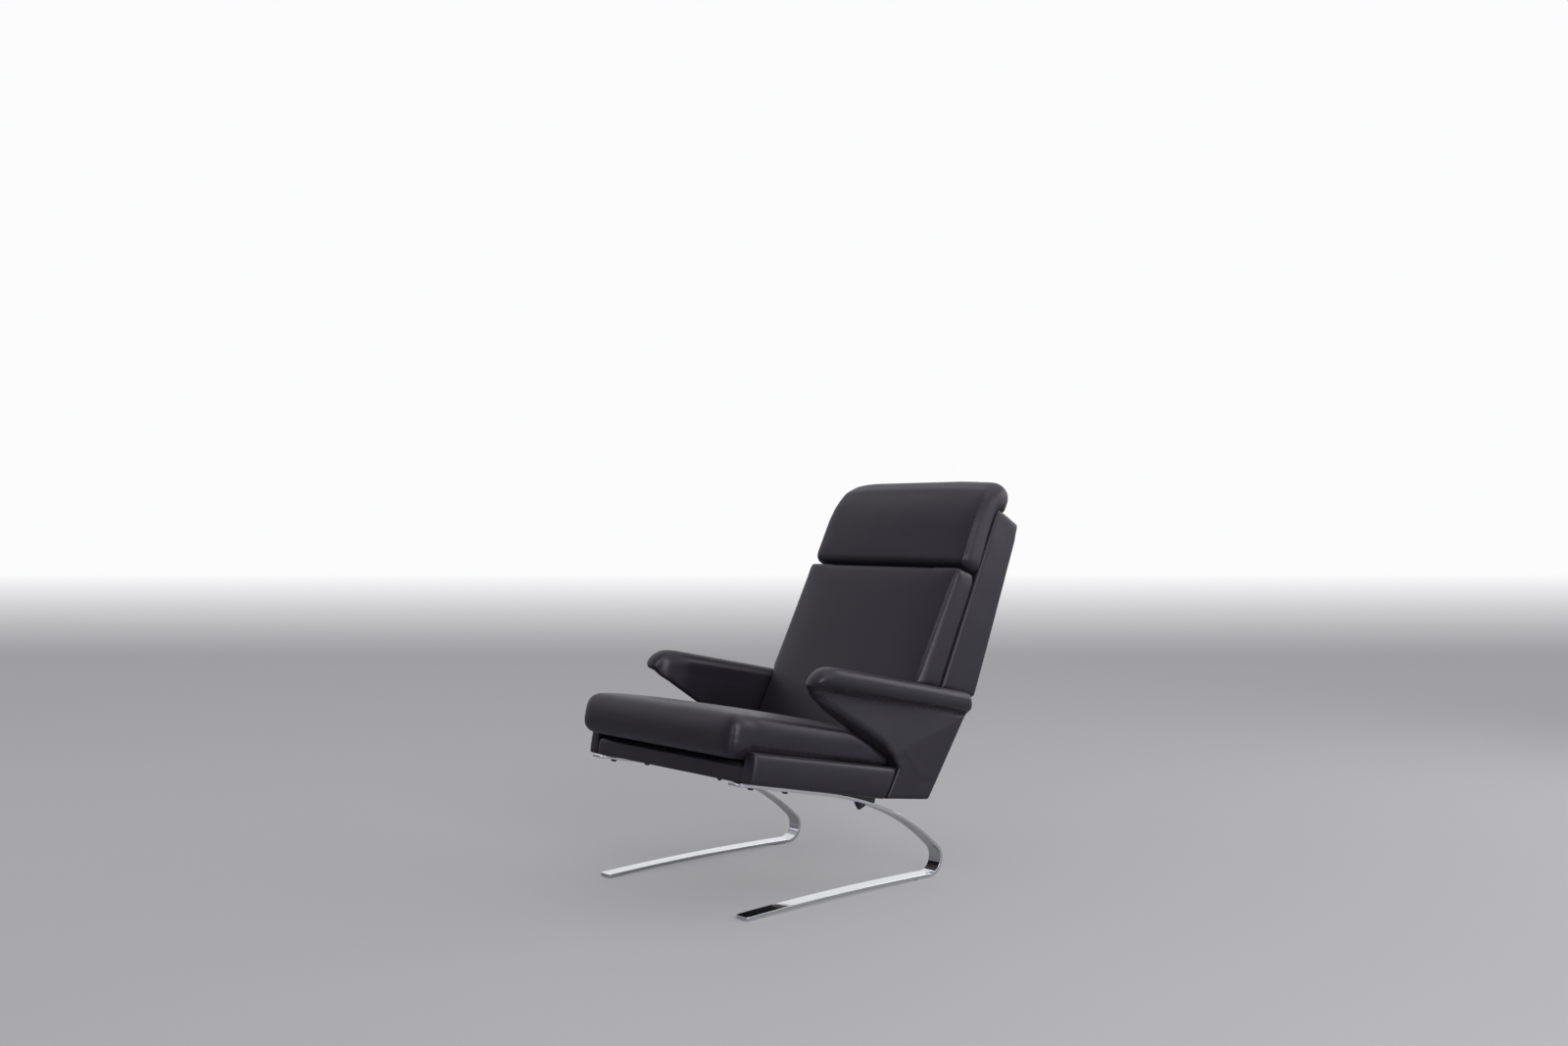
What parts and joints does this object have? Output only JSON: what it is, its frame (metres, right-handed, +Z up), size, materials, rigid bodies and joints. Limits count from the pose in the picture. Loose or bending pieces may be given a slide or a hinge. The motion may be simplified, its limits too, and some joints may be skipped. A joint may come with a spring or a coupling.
{
  "type": "cantilever lounge chair",
  "caption": "Low lounge chair: padded leather seat, arms, high back and headrest carried on two C-shaped flat steel spring bars that stand on the floor.",
  "frame": {"origin": "on the floor under the middle of the chair", "axes": "+X runs across the chair to the sitter's left, +Y to the rear, so the chair faces -Y, and +Z is up"},
  "size_m": [0.66, 0.9944, 0.9709],
  "materials": {
    "black_leather": "semi-gloss black leather with a fine grain",
    "chrome": "polished chrome on flat spring steel",
    "black_steel": "black zinc on steel fixings",
    "zinc_steel": "zinc-plated steel",
    "beech": "planed beech and birch plywood, unfinished",
    "black_cloth": "thin black dust-cover cloth",
    "webbing": "rubberised elastic webbing",
    "glide_plastic": "matt dark plastic floor glides"
  },
  "bodies": {
    "runners": {"runner_left": "chrome", "runner_right": "chrome", "glide_front_left": "glide_plastic", "glide_front_right": "glide_plastic", "glide_rear_left": "glide_plastic", "glide_rear_right": "glide_plastic"},
    "seat_unit": {"spring_arm_left": "chrome", "spring_arm_right": "chrome", "bolt_front_left": "black_steel", "bolt_front_right": "black_steel", "bolt_middle_left": "black_steel", "bolt_middle_right": "black_steel", "insert_front_left": "zinc_steel", "insert_front_right": "zinc_steel", "insert_middle_left": "zinc_steel", "insert_middle_right": "zinc_steel", "insert_rear_left": "zinc_steel", "insert_rear_right": "zinc_steel", "cap_nut_left": "black_steel", "cap_nut_right": "black_steel", "stud_left": "black_steel", "stud_right": "black_steel", "saddle_left": "black_steel", "saddle_right": "black_steel", "seat_member_left": "beech", "seat_member_right": "beech", "seat_member_front": "beech", "seat_member_rear": "beech", "webbing_1": "webbing", "webbing_2": "webbing", "webbing_3": "webbing", "webbing_4": "webbing", "dust_cover": "black_cloth", "side_rail_pad_left": "black_leather", "side_rail_pad_right": "black_leather", "front_apron": "black_leather", "arm_board_left": "beech", "arm_board_right": "beech", "side_panel_outer_left": "black_leather", "side_panel_outer_right": "black_leather", "side_panel_inner_left": "black_leather", "side_panel_inner_right": "black_leather", "arm_bolt_front_left": "zinc_steel", "arm_bolt_front_right": "zinc_steel", "arm_bolt_rear_left": "zinc_steel", "arm_bolt_rear_right": "zinc_steel", "arm_roll_left": "black_leather", "arm_roll_right": "black_leather", "back_shell": "black_leather", "back_board": "beech", "rear_panel": "black_leather", "back_bracket_left": "zinc_steel", "back_bracket_right": "zinc_steel", "seat_cushion": "black_leather", "back_pad": "black_leather", "headrest_cushion": "black_leather"}
  },
  "joints": [
    {"name": "spring_flex", "type": "hinge", "parent": "runners", "child": "seat_unit", "pos_m": [0, 0.19013, 0.04428], "axis": [1, 0, 0], "range_deg": [-1, 5], "stiffness_Nm_per_rad": 2400, "springref_deg": -0.6}
  ]
}
